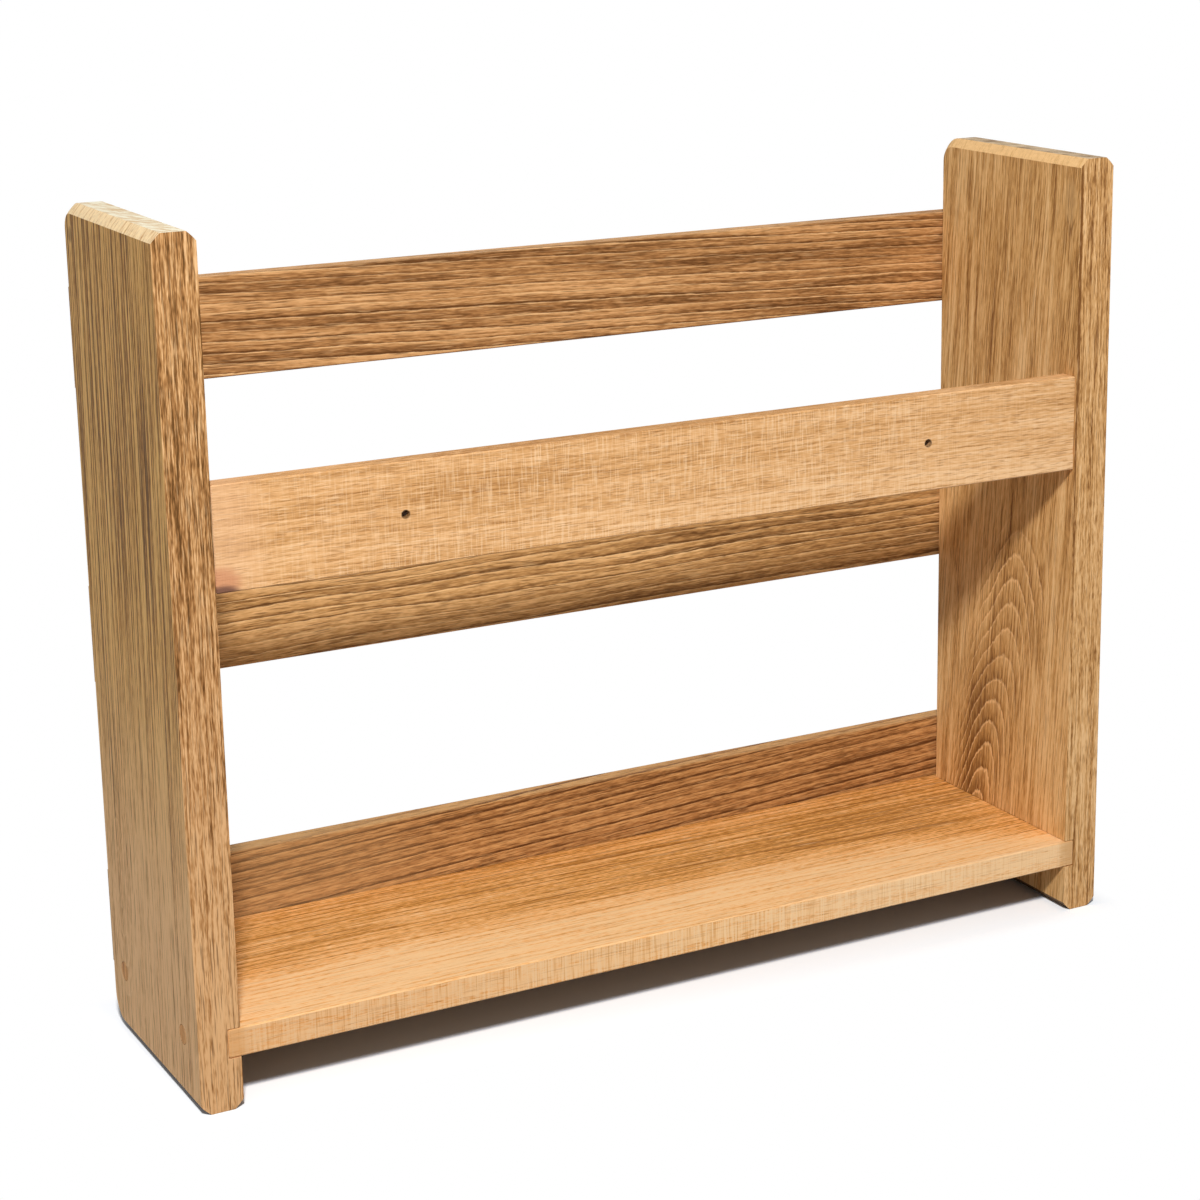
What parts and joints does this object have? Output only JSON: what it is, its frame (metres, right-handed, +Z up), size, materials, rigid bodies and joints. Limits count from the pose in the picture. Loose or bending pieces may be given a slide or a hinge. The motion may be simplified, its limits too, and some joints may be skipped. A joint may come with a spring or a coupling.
{
  "type": "bookshelf",
  "caption": "Slatted wooden bookshelf to hang or stand: side panels, a housed bottom shelf, open slats on the room side and a drilled rail on the wall side.",
  "frame": {"origin": "bottom centre of the whole object, on the surface that the panels' feet stand on", "axes": "+X along the shelf, -Y towards the wall (the side in the picture), +Y towards the room (the slatted side), +Z up"},
  "size_m": [0.5, 0.1368, 0.4],
  "materials": {
    "panel_wood": "oiled, satin",
    "shelf_wood": "oiled, satin",
    "rail_wood": "sawn face, matte",
    "slat_wood": "oiled, satin",
    "plug_wood": "oiled, satin",
    "dowel_wood": "raw",
    "screw_brass": "plain"
  },
  "bodies": {
    "root": {"side_panel_left": "panel_wood", "side_panel_right": "panel_wood", "bottom_shelf": "shelf_wood", "wall_rail": "rail_wood", "slat_bottom": "slat_wood", "slat_middle": "slat_wood", "slat_top": "slat_wood", "rail_dowel_left_lower": "dowel_wood", "rail_dowel_left_upper": "dowel_wood", "rail_dowel_right_lower": "dowel_wood", "rail_dowel_right_upper": "dowel_wood", "shelf_plug_left_wall": "plug_wood", "shelf_plug_left_room": "plug_wood", "shelf_plug_right_wall": "plug_wood", "shelf_plug_right_room": "plug_wood", "shelf_screw_left_wall": "screw_brass", "shelf_screw_left_room": "screw_brass", "shelf_screw_right_wall": "screw_brass", "shelf_screw_right_room": "screw_brass", "slat_plug_bottom_left_lower": "plug_wood", "slat_plug_bottom_left_upper": "plug_wood", "slat_plug_bottom_right_lower": "plug_wood", "slat_plug_bottom_right_upper": "plug_wood", "slat_plug_middle_left_lower": "plug_wood", "slat_plug_middle_left_upper": "plug_wood", "slat_plug_middle_right_lower": "plug_wood", "slat_plug_middle_right_upper": "plug_wood", "slat_plug_top_left_lower": "plug_wood", "slat_plug_top_left_upper": "plug_wood", "slat_plug_top_right_lower": "plug_wood", "slat_plug_top_right_upper": "plug_wood", "slat_screw_bottom_left_lower": "screw_brass", "slat_screw_bottom_left_upper": "screw_brass", "slat_screw_bottom_right_lower": "screw_brass", "slat_screw_bottom_right_upper": "screw_brass", "slat_screw_middle_left_lower": "screw_brass", "slat_screw_middle_left_upper": "screw_brass", "slat_screw_middle_right_lower": "screw_brass", "slat_screw_middle_right_upper": "screw_brass", "slat_screw_top_left_lower": "screw_brass", "slat_screw_top_left_upper": "screw_brass", "slat_screw_top_right_lower": "screw_brass", "slat_screw_top_right_upper": "screw_brass"}
  },
  "joints": []
}
